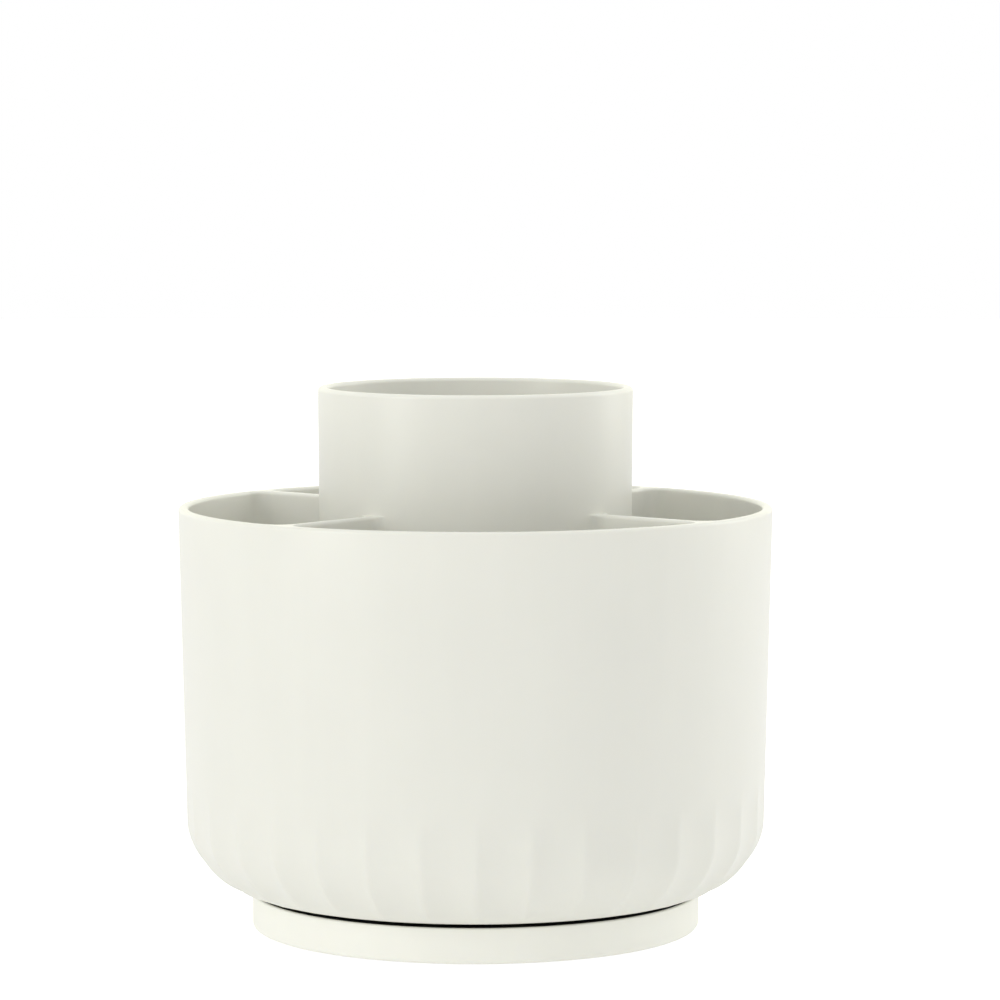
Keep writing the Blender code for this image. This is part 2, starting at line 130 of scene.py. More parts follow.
# Camera
CAMERA_TURN = math.radians(-5.625)  # from straight in front, towards the left
CAMERA_DISTANCE = 985.1 * MM
CAMERA_SIDE = 5.37 * MM
CAMERA_HEIGHT = 178.25 * MM
CAMERA_PITCH = math.radians(4.867)  # looking down
LENS = 162.3
SENSOR_WIDTH = 36.0


# Meshes -------------------------------------------------------------------------------------------


def object_from(name, bm):
    """Finishes a mesh and makes it an object: doubles merged, normals outward, round parts shaded smooth."""
    bmesh.ops.remove_doubles(bm, verts=bm.verts, dist=MERGE_DISTANCE)
    bmesh.ops.dissolve_degenerate(bm, edges=bm.edges, dist=MERGE_DISTANCE / 10)
    bmesh.ops.recalc_face_normals(bm, faces=bm.faces)
    mesh = bpy.data.meshes.new(name)
    bm.to_mesh(mesh)
    bm.free()
    mesh.shade_smooth()
    mesh.set_sharp_from_angle(angle=SHARP_ANGLE)
    obj = bpy.data.objects.new(name, mesh)
    bpy.context.scene.collection.objects.link(obj)
    return obj


def add_ring(bm, points):
    return [bm.verts.new(point) for point in points]


def bridge(bm, ring, following):
    """Quads between two rings of as many vertices, or triangles to a ring of one vertex."""
    count = max(len(ring), len(following))
    for i in range(count):
        j = (i + 1) % count
        if len(ring) == 1:
            bm.faces.new((ring[0], following[j], following[i]))
        elif len(following) == 1:
            bm.faces.new((ring[i], ring[j], following[0]))
        else:
            bm.faces.new((ring[i], ring[j], following[j], following[i]))


def circle(radius, height, angles):
    """Points on a circle round the Z axis, or the one point on the axis."""
    if radius < MERGE_DISTANCE:
        return [Vector((0, 0, height))]
    return [Vector((radius * math.cos(angle), radius * math.sin(angle), height)) for angle in angles]


def even_angles(count):
    return [math.tau * i / count for i in range(count)]


def lathe(bm, path, angles, closed=False):
    """Turns a path of (radius, height) points round the Z axis, and returns its rings."""
    rings = [add_ring(bm, circle(radius, height, angles)) for radius, height in path]
    for ring, following in zip(rings, rings[1:]):
        bridge(bm, ring, following)
    if closed:
        bridge(bm, rings[-1], rings[0])
    return rings


def rounded(corners, closed=False, steps=6):
    """A path through corners of (radius, height, rounding), with an arc at each corner that is rounded."""
    path = []
    last = len(corners) - 1
    for i, (radius, height, rounding) in enumerate(corners):
        corner = Vector((radius, height))
        if rounding == 0 or (not closed and i in (0, last)):
            path.append((radius, height))
            continue
        back = (Vector(corners[i - 1][:2]) - corner).normalized()
        ahead = (Vector(corners[(i + 1) % len(corners)][:2]) - corner).normalized()
        half = back.angle(ahead) / 2
        centre = corner + (back + ahead).normalized() * (rounding / math.sin(half))
        start = corner + back * (rounding / math.tan(half)) - centre
        sweep = start.angle_signed(corner + ahead * (rounding / math.tan(half)) - centre)
        for step in range(steps + 1):
            turn = Matrix.Rotation(-sweep * step / steps, 2)
            path.append(tuple(centre + turn @ start))
    return path


def turned(name, corners, segments, closed=False, steps=6):
    bm = bmesh.new()
    lathe(bm, rounded(corners, closed, steps), even_angles(segments), closed)
    return object_from(name, bm)


def smooth_step(value):
    value = min(max(value, 0.0), 1.0)
    return value * value * (3 - 2 * value)


def apply_modifiers(obj):
    """Makes the object's modifiers real, and shades the result."""
    graph = bpy.context.evaluated_depsgraph_get()
    mesh = bpy.data.meshes.new_from_object(obj.evaluated_get(graph))
    obj.modifiers.clear()
    obj.data = mesh
    mesh.shade_smooth()
    mesh.set_sharp_from_angle(angle=SHARP_ANGLE)


def combine(obj, others, operation):
    """Cuts the other objects from obj, or joins them to it, and removes them."""
    for other in others:
        modifier = obj.modifiers.new(operation, "BOOLEAN")
        modifier.operation = operation
        modifier.object = other
    bpy.context.view_layer.update()
    apply_modifiers(obj)
    for other in others:
        bpy.data.objects.remove(other)


def span(node):
    """Where a round CAD node is: its centre on the table, bottom, top, smallest and greatest radius."""
    low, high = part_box(node)
    centre = (low + high) / 2
    radii = [math.hypot(v.co.x - centre.x, v.co.y - centre.y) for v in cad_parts[node].data.vertices]
    return centre, low.z, high.z, min(radii), max(radii)


def finish_piece(piece, material, slot, body, *nodes):
    """Gives a piece its material and body, and has it stand for its CAD nodes."""
    piece.data.materials.clear()
    piece.data.materials.append(material)
    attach(piece, body)
    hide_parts(*nodes)


# Barrel -------------------------------------------------------------------------------------------


_, BARREL_BOTTOM, CUP_HEIGHT, _, RIM_RADIUS = span("barrel")


def wall_radius(height):
    """Outside radius of the barrel's straight wall."""
    return RIM_RADIUS - BARREL_DRAFT * (RIM_HEIGHT - height) / (RIM_HEIGHT - FOOT_HEIGHT)


def foot_point(share, inset=0.0, floor=BARREL_BOTTOM):
    """A point on the rounded foot, from the wall at share 0 to the underside at share 1."""
    width = wall_radius(FOOT_HEIGHT) - FOOT_BOTTOM_RADIUS
    angle = share * math.pi / 2
    radius = FOOT_BOTTOM_RADIUS - inset + width * math.cos(angle) ** (2 / FOOT_ROUNDNESS)
    return radius, FOOT_HEIGHT - (FOOT_HEIGHT - floor) * math.sin(angle) ** (2 / FOOT_ROUNDNESS)


def flute_depth(angle, height):
    """How deep the flutes are sunk here: scallops between sharp ridges that run out at both ends."""
    across = 2 * abs(((angle - FLUTE_AT) * FLUTES / math.tau + 0.5) % 1 - 0.5)
    run_out = smooth_step((height - FLUTE_FULL) / (FLUTE_TOP - FLUTE_FULL))
    fall = smooth_step((height - BARREL_BOTTOM) / FLUTE_FOOT_FADE)
    down_foot = smooth_step((FLUTE_FULL - height) / (FLUTE_FULL - BARREL_BOTTOM - FLUTE_FOOT_FADE))
    return FLUTE_DEPTH * (1 + FLUTE_FOOT_GAIN * down_foot) * (1 - across ** 2) * (1 - run_out) * fall


def skin_path():
    """The outside of the barrel, from the top of its rim down to the underside, without its flutes."""
    top = RIM_HEIGHT - RIM_ROUNDING
    centre = wall_radius(top) - RIM_ROUNDING
    steps = 6
    path = []
    for step in range(steps + 1):
        angle = math.pi / 2 * (1 - step / steps)
        path.append((centre + RIM_ROUNDING * math.cos(angle), top + RIM_ROUNDING * math.sin(angle)))
    wall_rings = 3
    levels = [top + (FLUTE_TOP - top) * i / wall_rings for i in range(1, wall_rings + 1)]
    run_rings = 14
    levels += [FLUTE_TOP + (FOOT_HEIGHT - FLUTE_TOP) * i / run_rings for i in range(1, run_rings)]
    path += [(wall_radius(level), level) for level in levels]
    foot_rings = 26
    path += [foot_point(i / foot_rings) for i in range(foot_rings + 1)]
    return path


def add_skin(bm):
    """The fluted outside. Returns the ring on top of the rim and the last one, on the underside."""
    angles = even_angles(FLUTES * SAMPLES_PER_FLUTE)
    path = skin_path()
    rings = []
    for i, (radius, height) in enumerate(path):
        before = Vector(path[max(i - 1, 0)])
        after = Vector(path[min(i + 1, len(path) - 1)])
        along = (after - before).normalized()
        normal = Vector((-along.y, along.x))
        points = []
        for angle in angles:
            depth = flute_depth(angle, height) if height < FLUTE_TOP else 0.0
            sunk = Vector((radius, height)) - normal * depth
            points.append(Vector((sunk.x * math.cos(angle), sunk.x * math.sin(angle), sunk.y)))
        rings.append(add_ring(bm, points))
    for ring, following in zip(rings, rings[1:]):
        bridge(bm, ring, following)
    return rings[0], rings[-1]


def add_underside(bm, skin_end):
    """The barrel's flat underside, with the upper race's pocket and the pivot screw's pilot hole."""
    _, _, race_top, race_inner, race_outer = span("upper_race")
    pocket_inner = race_inner - FIT_GAP
    pocket_outer = race_outer + FIT_GAP
    pocket_top = race_top + FIT_GAP
    edge = 0.3 * MM
    first_radius = FOOT_BOTTOM_RADIUS - 1.0 * MM
    corners = [(first_radius, BARREL_BOTTOM, 0), (pocket_outer, BARREL_BOTTOM, edge)]
    corners += [(pocket_outer, pocket_top, edge), (pocket_inner, pocket_top, edge)]
    corners += [(pocket_inner, BARREL_BOTTOM, edge), (PIVOT_PILOT_RADIUS, BARREL_BOTTOM, edge)]
    corners += [(PIVOT_PILOT_RADIUS, PIVOT_PILOT_TOP, edge), (0, PIVOT_PILOT_TOP, 0)]
    rings = lathe(bm, rounded(corners, steps=3), even_angles(FLUTES * SAMPLES_PER_FLUTE))
    bridge(bm, skin_end, rings[0])


def compartment_outline(cup_radius, wall_inside, half_divider, inner_corner, outer_corner):
    """The outline of the compartment round the +X direction, counterclockwise from its middle outer point.

    Returns its points, and for each one its share of the edge rounding: none along the cup, full elsewhere.
    """
    half_angle = math.pi / COMPARTMENTS
    along = Vector((math.cos(half_angle), math.sin(half_angle)))
    inward = Vector((math.sin(half_angle), -math.cos(half_angle)))

    def corner_centre(distance, corner):
        across = half_divider + corner
        return along * math.sqrt(distance ** 2 - across ** 2) + inward * across

    def arc(centre, radius, start, end, steps):
        angles = [start + (end - start) * step / steps for step in range(steps + 1)]
        return [centre + radius * Vector((math.cos(angle), math.sin(angle))) for angle in angles]

    axis = Vector((0, 0))
    outer = corner_centre(wall_inside - outer_corner, outer_corner)
    inner = corner_centre(cup_radius + inner_corner, inner_corner)
    outer_angle = math.atan2(outer.y, outer.x)
    inner_angle = math.atan2(inner.y, inner.x)
    towards_divider = half_angle + math.pi / 2
    corner_steps = 10
    wall = arc(axis, wall_inside, 0, outer_angle, 24)
    outer_turn = arc(outer, outer_corner, outer_angle, towards_divider, corner_steps)
    inner_turn = arc(inner, inner_corner, towards_divider, inner_angle + math.pi, corner_steps)
    face_steps = 10
    face = [outer_turn[-1].lerp(inner_turn[0], step / face_steps) for step in range(face_steps + 1)]
    cup = arc(axis, cup_radius, inner_angle, 0, CUP_ARC_STEPS)
    half = wall[:-1] + outer_turn[:-1] + face[:-1] + inner_turn[:-1] + cup
    shares = [1.0] * (len(wall) + len(outer_turn) + len(face) - 3)
    shares += [smooth_step(1 - step / corner_steps) for step in range(corner_steps)]
    shares += [0.0] * len(cup)
    mirrored = [Vector((point.x, -point.y)) for point in half[-2:0:-1]]
    return half + mirrored, shares + shares[-2:0:-1]


def outward_of(points):
    """The outward unit normal at each point of a counterclockwise outline."""
    normals = []
    for i, _ in enumerate(points):
        tangent = (points[(i + 1) % len(points)] - points[i - 1]).normalized()
        normals.append(Vector((tangent.y, -tangent.x)))
    return normals


def cup_outside(height):
    return CUP_RADIUS - CUP_DRAFT * (CUP_HEIGHT - height) / (CUP_HEIGHT - FLOOR_TOP)


def compartment_at(height):
    """The outline of a compartment at this height, drafted, and rounded in towards its floor."""
    depth = RIM_HEIGHT - height
    above_floor = height - FLOOR_TOP
    fillet = 0.0
    if above_floor < FLOOR_FILLET:
        fillet = FLOOR_FILLET - math.sqrt(max(FLOOR_FILLET ** 2 - (FLOOR_FILLET - above_floor) ** 2, 0))
    half_divider = DIVIDER_THICKNESS / 2 + DIVIDER_DRAFT * depth / (RIM_HEIGHT - FLOOR_TOP) + fillet
    return cup_outside(height) + fillet, half_divider, fillet


def compartment_rings():
    """The rings of a compartment from the top of its rounded edge down to its floor, as lists of points."""
    rings = []
    edge_steps = 6
    start_cup, start_half, _ = compartment_at(RIM_HEIGHT)
    outline, shares = compartment_outline(
        start_cup, wall_radius(RIM_HEIGHT) - BARREL_WALL, start_half, INNER_CORNER, OUTER_CORNER
    )
    normals = outward_of(outline)
    for step in range(edge_steps + 1):
        angle = math.pi / 2 * step / edge_steps
        ring = []
        for point, normal, share in zip(outline, normals, shares):
            place = point + normal * (share * RIM_ROUNDING * (1 - math.sin(angle)))
            ring.append(Vector((place.x, place.y, RIM_HEIGHT - share * RIM_ROUNDING * (1 - math.cos(angle)))))
        rings.append(ring)
    straight_rings = 4
    top = RIM_HEIGHT - 2 * RIM_ROUNDING
    levels = [(top + (FOOT_HEIGHT - top) * i / straight_rings) for i in range(straight_rings)]
    places = [(wall_radius(z) - BARREL_WALL, z) for z in levels]
    foot_rings = 20
    places += [foot_point(i / foot_rings, BARREL_WALL, FLOOR_TOP) for i in range(foot_rings + 1)]
    for wall_inside, height in places:
        cup, half, fillet = compartment_at(height)
        outline, _ = compartment_outline(cup, wall_inside, half, INNER_CORNER - fillet, OUTER_CORNER - fillet)
        rings.append([Vector((p.x, p.y, height)) for p in outline])
    return rings


def add_compartments(bm):
    """The four outer compartments. Returns the edges round their tops that bound the web between them."""
    rings = compartment_rings()
    count = len(rings[0])
    cup_points = 2 * CUP_ARC_STEPS
    first_cup_edge = (count - cup_points) // 2
    edges = []
    for number in range(COMPARTMENTS):
        turn = Matrix.Rotation(math.tau * number / COMPARTMENTS, 3, "Z")
        placed = [add_ring(bm, [turn @ point for point in ring]) for ring in rings]
        for ring, following in zip(placed, placed[1:]):
            bridge(bm, ring, following)
        bm.faces.new(placed[-1])
        for i in range(count):
            if not first_cup_edge <= i < first_cup_edge + cup_points:
                edges.append((placed[0][i], placed[0][(i + 1) % count]))
    return edges


def cup_angles():
    """Angles round the cup, where its vertices meet those of the compartments and divide the roots evenly."""
    cup, half, _ = compartment_at(RIM_HEIGHT)
    across = half + INNER_CORNER
    root_angle = math.asin(across / (cup + INNER_CORNER))
    reach = math.pi / COMPARTMENTS - root_angle
    root_step = 2 * root_angle / DIVIDER_ROOT_STEPS
    angles = []
    for number in range(COMPARTMENTS):
        middle = math.tau * number / COMPARTMENTS
        angles += [middle + reach * step / CUP_ARC_STEPS for step in range(-CUP_ARC_STEPS, CUP_ARC_STEPS + 1)]
        angles += [middle + reach + root_step * step for step in range(1, DIVIDER_ROOT_STEPS)]
    return angles


def add_cup(bm):
    """The centre cup above the web, its inside and its floor's spigot. Returns the web's edges on it."""
    inside_foot = cup_outside(FLOOR_TOP) - CUP_WALL
    lip = 0.9 * MM
    above_web = RIM_HEIGHT + 0.8 * MM  # a ring here keeps the web's edges from showing up the cup's wall
    corners = [(cup_outside(RIM_HEIGHT), RIM_HEIGHT, 0), (cup_outside(above_web), above_web, 0)]
    corners.append((cup_outside(CUP_HEIGHT), CUP_HEIGHT, lip))
    corners += [(CUP_RADIUS - CUP_WALL, CUP_HEIGHT, lip), (inside_foot, FLOOR_TOP, FLOOR_FILLET)]
    corners += [(SPIGOT_RADIUS, FLOOR_TOP, 1.0 * MM), (SPIGOT_RADIUS, SPIGOT_TOP, 0.6 * MM)]
    corners.append((0, SPIGOT_TOP, 0))
    angles = cup_angles()
    rings = lathe(bm, rounded(corners, steps=8), angles)
    per_compartment = len(angles) // COMPARTMENTS
    edges = []
    for number in range(COMPARTMENTS):
        first = number * per_compartment + 2 * CUP_ARC_STEPS
        for i in range(first, first + DIVIDER_ROOT_STEPS):
            edges.append((rings[0][i % len(angles)], rings[0][(i + 1) % len(angles)]))
    return edges


def fill_web(bm, boundary):
    """The flat top between the rim, the compartments and the cup, filled as its own mesh and then joined."""
    web = bmesh.new()
    edges = [web.edges.new((web.verts.new(a), web.verts.new(b))) for a, b in boundary]
    bmesh.ops.remove_doubles(web, verts=web.verts, dist=MERGE_DISTANCE)
    bmesh.ops.triangle_fill(web, use_beauty=True, edges=web.edges[:], normal=(0, 0, 1))
    mesh = bpy.data.meshes.new("web")
    web.to_mesh(mesh)
    web.free()
    bm.from_mesh(mesh)
    bpy.data.meshes.remove(mesh)


def make_barrel(material):
    """The barrel with its centre cup, four dividers and fluted foot, as one moulding."""
    bm = bmesh.new()
    rim, skin_end = add_skin(bm)
    add_underside(bm, skin_end)
    boundary = [(rim[i], rim[(i + 1) % len(rim)]) for i in range(len(rim))]
    boundary += add_compartments(bm)
    boundary += add_cup(bm)
    fill_web(bm, [(a.co.copy(), b.co.copy()) for a, b in boundary])
    barrel = object_from("barrel_moulding", bm)
    finish_piece(barrel, material, "ivory_plastic", "turning_barrel", "barrel")


# Base ---------------------------------------------------------------------------------------------


def numbered(name, count):
    return [f"{name}_{number}" for number in range(1, count + 1)]


def moved(obj, centre, turn=0.0):
    """Turns an object that was modelled on the axis, and moves it to a place on the table, in its mesh."""
    obj.data.transform(Matrix.Translation((centre.x, centre.y, 0)) @ Matrix.Rotation(turn, 4, "Z"))
    return obj


def make_base_shell(material):
    """The base: a skirt and a deck with the lower race's pocket, the bush's boss and the screws' bosses."""
    _, bottom, boss_top, bore, radius = span("base_shell")
    _, race_bottom, _, race_inner, race_outer = span("lower_race")
    flange_radius = span("pivot_bush")[4] + FIT_GAP
    flange_seat = BUSH_FLANGE_TOP + FIT_GAP
    inner, outer = race_inner - FIT_GAP, race_outer + FIT_GAP
    floor = race_bottom - FIT_GAP
    underside = race_bottom - POCKET_WALL
    skirt = radius - SKIRT_WALL
    corners = [(bore, boss_top, 0.3), (BUSH_BOSS_RADIUS, boss_top, 0.3), (BUSH_BOSS_RADIUS, BASE_TOP, 0.5)]
    corners += [(inner, BASE_TOP, 0.3), (inner, floor, 0.2), (outer, floor, 0.2), (outer, BASE_TOP, 0.3)]
    corners += [(radius, BASE_TOP, 0.45), (radius, bottom, BASE_ROUNDING / MM), (skirt, bottom, 0.3)]
    corners += [(skirt, DECK_UNDERSIDE, 0.6), (outer + POCKET_WALL, DECK_UNDERSIDE, 0.4)]
    corners += [(outer + POCKET_WALL, underside, 0.4), (inner - POCKET_WALL, underside, 0.4)]
    corners += [(inner - POCKET_WALL, DECK_UNDERSIDE, 0.4), (flange_radius, DECK_UNDERSIDE, 0.2)]
    corners += [(flange_radius, flange_seat, 0.2), (bore, flange_seat, 0.2)]
    corners = [(r, z, rounding * MM) for r, z, rounding in corners]
    base = turned("base_moulding", corners, 256, closed=True)
    bosses, pilots = [], []
    cover_top = span("base_cover")[2]
    for node in numbered("cover_screw", 4):
        centre, _, tip, _, _ = span(node)
        low, high = cover_top + FIT_GAP, DECK_UNDERSIDE + FIT_GAP
        boss = [(0, high, 0), (COVER_BOSS_RADIUS, high, 0), (COVER_BOSS_RADIUS, low, 0.3 * MM), (0, low, 0)]
        bosses.append(moved(turned("boss", boss, 48), centre, OFF_GRID))
        hole = COVER_SCREW_CREST + 0.05 * MM
        pilot = [(0, tip + FIT_GAP, 0), (hole, tip + FIT_GAP, 0), (hole, cover_top, 0), (0, cover_top, 0)]
        pilots.append(moved(turned("pilot", pilot, 32), centre, 2 * OFF_GRID))
    combine(base, bosses, "UNION")
    combine(base, pilots, "DIFFERENCE")
    finish_piece(base, material, "ivory_plastic", "base", "base_shell")


def make_base_cover(material):
    """The cover under the base, with moulded rings, seats for the pads and countersunk screw holes."""
    _, bottom, top, _, radius = span("base_cover")
    groove_width, groove_depth = 0.9 * MM, 0.3 * MM
    even_rings = [(ring * MM, top, 0) for ring in (12, 24, 36, 44)]  # they keep the flat top's faces short
    corners = [(0, top, 0), *even_rings, (radius, top, 0.3 * MM), (radius, bottom, 0.4 * MM)]
    for groove in (30 * MM, 22 * MM, 9 * MM):
        for edge, height in ((groove + groove_width, bottom), (groove + groove_width, bottom + groove_depth),
                             (groove, bottom + groove_depth), (groove, bottom)):
            corners.append((edge, height, 0.12 * MM))
    gate_radius, gate_depth = 2.5 * MM, 0.35 * MM
    corners += [(gate_radius, bottom, 0.15 * MM), (gate_radius, bottom + gate_depth, 0.15 * MM)]
    corners += [(0, bottom + gate_depth, 0)]
    cover = turned("base_cover_plate", corners, 192, steps=3)
    cutters = []
    for node in numbered("foot_pad", 4):
        centre, _, pad_top, _, pad_radius = span(node)
        seat_radius = pad_radius + FIT_GAP
        seat_top = pad_top + FIT_GAP
        seat = [(0, seat_top, 0), (seat_radius, seat_top, 0), (seat_radius, bottom, 0)]
        seat += [(seat_radius + FIT_GAP, bottom - FIT_GAP, 0), (0, bottom - FIT_GAP, 0)]
        cutters.append(moved(turned("seat", seat, 96), centre, OFF_GRID / 2))
    for node in numbered("cover_screw", 4):
        centre, _, _, _, head = span(node)
        hole, neck = COVER_SCREW_CREST + 0.1 * MM, bottom + 1.0 * MM
        rim = head + 0.2 * MM
        sink = [(0, top + FIT_GAP, 0), (hole, top + FIT_GAP, 0), (hole, neck, 0), (rim, bottom, 0)]
        sink += [(rim, bottom - FIT_GAP, 0), (0, bottom - FIT_GAP, 0)]
        cutters.append(moved(turned("sink", sink, 48), centre, OFF_GRID))
    combine(cover, cutters, "DIFFERENCE")
    finish_piece(cover, material, "white_nylon", "base", "base_cover")


def make_foot_pads(material):
    """Rubber pads with a rounded edge and moulded rings on their undersides."""
    for number, node in enumerate(numbered("foot_pad", 4), start=1):
        centre, bottom, top, _, radius = span(node)
        corners = [(0, top, 0), (radius, top, 0.12 * MM), (radius, bottom, 0.35 * MM)]
        for ring in (4.2 * MM, 3.0 * MM, 1.8 * MM):
            corners += [(ring + 0.25 * MM, bottom, 0.08 * MM), (ring, bottom + 0.18 * MM, 0.08 * MM)]
            corners += [(ring - 0.25 * MM, bottom, 0.08 * MM)]
        corners.append((0, bottom, 0))
        pad = moved(turned(f"rubber_foot_{number}", corners, 96, steps=4), centre)
        finish_piece(pad, material, "rubber_pad", "base", node)


# Screws -------------------------------------------------------------------------------------------


def add_thread(bm, angles, start, end, core, crest, pitch):
    """The rings of a right-hand thread up a shank, which fades in at its start and out at its end."""
    steps_per_turn = 10
    count = round((end - start) / pitch * steps_per_turn)
    rings = []
    for step in range(count + 1):
        height = start + (end - start) * step / count
        fade = smooth_step((height - start) / pitch) * smooth_step((end - height) / pitch)
        points = []
        for angle in angles:
            phase = ((height - start) / pitch - angle / math.tau) % 1
            rise = max(0.0, 1 - abs(2 * phase - 1) * 1.5) * fade
            radius = core + (crest - core) * rise
            points.append(Vector((radius * math.cos(angle), radius * math.sin(angle), height)))
        rings.append(add_ring(bm, points))
    for ring, following in zip(rings, rings[1:]):
        bridge(bm, ring, following)
    return rings[0], rings[-1]


def cross_recess(bottom, reach, depth):
    """The cutter of a cross recess: a tapered cross that goes up into a screw's head."""
    half = reach * 0.17
    outline = []
    for quarter in range(4):
        turn = Matrix.Rotation(math.pi / 2 * quarter, 2)
        outline += [turn @ Vector(point) for point in ((reach, -half), (reach, half), (half, half))]
    bm = bmesh.new()
    levels = ((bottom - depth, 1.25), (bottom + depth * 0.75, 0.62), (bottom + depth, 0.3))
    rings = []
    for height, scale in levels:
        rings.append(add_ring(bm, [Vector((p.x * scale, p.y * scale, height)) for p in outline]))
    for ring, following in zip(rings, rings[1:]):
        bridge(bm, ring, following)
    bm.faces.new(rings[0])
    bm.faces.new(rings[-1])
    return object_from("recess", bm)


def make_screw(name, head_corners, plain_end, tip, thread):
    """A screw that points up: a turned head and plain shank, a thread, a pointed tip and a cross recess."""
    core, crest, pitch = thread
    angles = even_angles(40)
    head_radius = max(radius for radius, _, _ in head_corners)
    bottom = head_corners[0][1]
    bm = bmesh.new()
    head = lathe(bm, rounded([*head_corners, (core, plain_end, 0)], steps=4), angles)
    first, last = add_thread(bm, angles, plain_end, tip - core, core, crest, pitch)
    bridge(bm, head[-1], first)
    point = lathe(bm, [(core, tip - core), (core * 0.4, tip - core * 0.25), (0, tip)], angles)
    bridge(bm, last, point[0])
    screw = object_from(name, bm)
    recess = cross_recess(bottom, head_radius * 0.56, (plain_end - bottom) * 0.55)
    combine(screw, [moved(recess, Vector(), OFF_GRID)], "DIFFERENCE")
    return screw


def make_cover_screws(material):
    for number, node in enumerate(numbered("cover_screw", 4), start=1):
        centre, bottom, tip, _, radius = span(node)
        neck = bottom + 0.95 * MM
        head = [(0, bottom, 0), (radius, bottom, 0.08 * MM), (radius, bottom + 0.12 * MM, 0.05 * MM)]
        head += [(COVER_SCREW_CORE, neck, 0.15 * MM)]
        thread = (COVER_SCREW_CORE, COVER_SCREW_CREST, COVER_SCREW_PITCH)
        screw = moved(make_screw(f"countersunk_screw_{number}", head, neck + 0.3 * MM, tip, thread), centre)
        finish_piece(screw, material, "screw_steel", "base", node)


def make_pivot(steel, nylon):
    """The pivot screw with its washer, and the bush that they turn in."""
    _, head_bottom, tip, _, head_radius = span("pivot_screw")
    _, washer_bottom, washer_top, hole, washer_radius = span("pivot_washer")
    head_top = washer_bottom - FIT_GAP
    shank = hole - FIT_GAP
    head = [(0, head_bottom, 0), (head_radius, head_bottom, 0.7 * MM), (head_radius, head_top, 0.15 * MM)]
    head += [(shank, head_top, 0.2 * MM), (shank, BARREL_BOTTOM - 0.4 * MM, 0.2 * MM)]
    head += [(PIVOT_CORE, BARREL_BOTTOM - 0.1 * MM, 0.1 * MM)]
    screw = make_screw("pivot_pan_screw", head, BARREL_BOTTOM, tip, (PIVOT_CORE, PIVOT_CREST, PIVOT_PITCH))
    finish_piece(screw, steel, "screw_steel", "turning_barrel", "pivot_screw")
    edge = 0.12 * MM
    ring = [(hole, washer_top, edge), (washer_radius, washer_top, edge), (washer_radius, washer_bottom, edge)]
    washer = turned("pivot_steel_washer", [*ring, (hole, washer_bottom, edge)], 96, closed=True, steps=3)
    finish_piece(washer, steel, "screw_steel", "turning_barrel", "pivot_washer")
    _, bush_bottom, bush_top, bore, flange = span("pivot_bush")
    corners = [(bore, bush_top, 0.3), (BUSH_SLEEVE_RADIUS, bush_top, 0.3)]
    corners.append((BUSH_SLEEVE_RADIUS, BUSH_FLANGE_TOP, 0.15))
    corners += [(flange, BUSH_FLANGE_TOP, 0.2), (flange, bush_bottom, 0.2), (bore, bush_bottom, 0.3)]
    corners = [(r, z, rounding * MM) for r, z, rounding in corners]
    bush = turned("pivot_nylon_bush", corners, 96, closed=True, steps=4)
    finish_piece(bush, nylon, "white_nylon", "base", "pivot_bush")


# Ball bearing -------------------------------------------------------------------------------------


def make_races(material):
    """Two pressed steel rings with a round groove for the balls."""
    low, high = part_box("ball_01")
    ball_radius = (high.z - low.z) / 2
    ball_height = (high.z + low.z) / 2
    for level, body in (("lower", "base"), ("upper", "turning_barrel")):
        node = f"{level}_race"
        _, bottom, top, inner, outer = span(node)
        middle = (inner + outer) / 2
        groove = ball_radius + FIT_GAP
        face, back, side = (top, bottom, -1) if level == "lower" else (bottom, top, 1)
        lean = math.acos(abs(ball_height - face) / groove)
        edge = 0.25 * MM
        steps = 14
        path = [(inner, back, edge), (inner, face, edge)]
        for step in range(steps + 1):
            angle = lean * (2 * step / steps - 1)
            path.append((middle + groove * math.sin(angle), ball_height + side * groove * math.cos(angle), 0))
        path += [(outer, face, edge), (outer, back, edge)]
        race = turned(f"{level}_steel_race", path, 192, closed=True, steps=4)
        finish_piece(race, material, "bearing_steel", body, node)


def make_ball_cage(material):
    """The nylon ring that keeps the balls apart, with a chamfered pocket for each ball."""
    _, bottom, top, inner, outer = span("ball_cage")
    edge = 0.3 * MM
    corners = [(inner, top, edge), (outer, top, edge), (outer, bottom, edge), (inner, bottom, edge)]
    cage = turned("bearing_cage", corners, 240, closed=True, steps=4)
    middle = (bottom + top) / 2
    pockets = []
    for number in range(1, BALL_COUNT + 1):
        centre, _, _, _, ball_radius = span(f"ball_{number:02d}")
        pocket = ball_radius + FIT_GAP
        flare, above, below = pocket + 0.45 * MM, top + edge, bottom - edge
        corners = [(0, above, 0), (flare, above, 0), (pocket, middle + 0.25 * MM, 0)]
        corners += [(pocket, middle - 0.25 * MM, 0), (flare, below, 0), (0, below, 0)]
        pockets.append(moved(turned("pocket", corners, 48), centre, OFF_GRID))
    combine(cage, pockets, "DIFFERENCE")
    finish_piece(cage, material, "white_nylon", "cage", "ball_cage")


def make_balls(material):
    for number in range(1, BALL_COUNT + 1):
        low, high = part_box(f"ball_{number:02d}")
        bm = bmesh.new()
        centre = Matrix.Translation((low + high) / 2)
        bmesh.ops.create_icosphere(bm, subdivisions=4, radius=(high.z - low.z) / 2, matrix=centre)
        ball = object_from(f"bearing_ball_{number:02d}", bm)
        finish_piece(ball, material, "bearing_steel", "cage", f"ball_{number:02d}")


# Materials ----------------------------------------------------------------------------------------


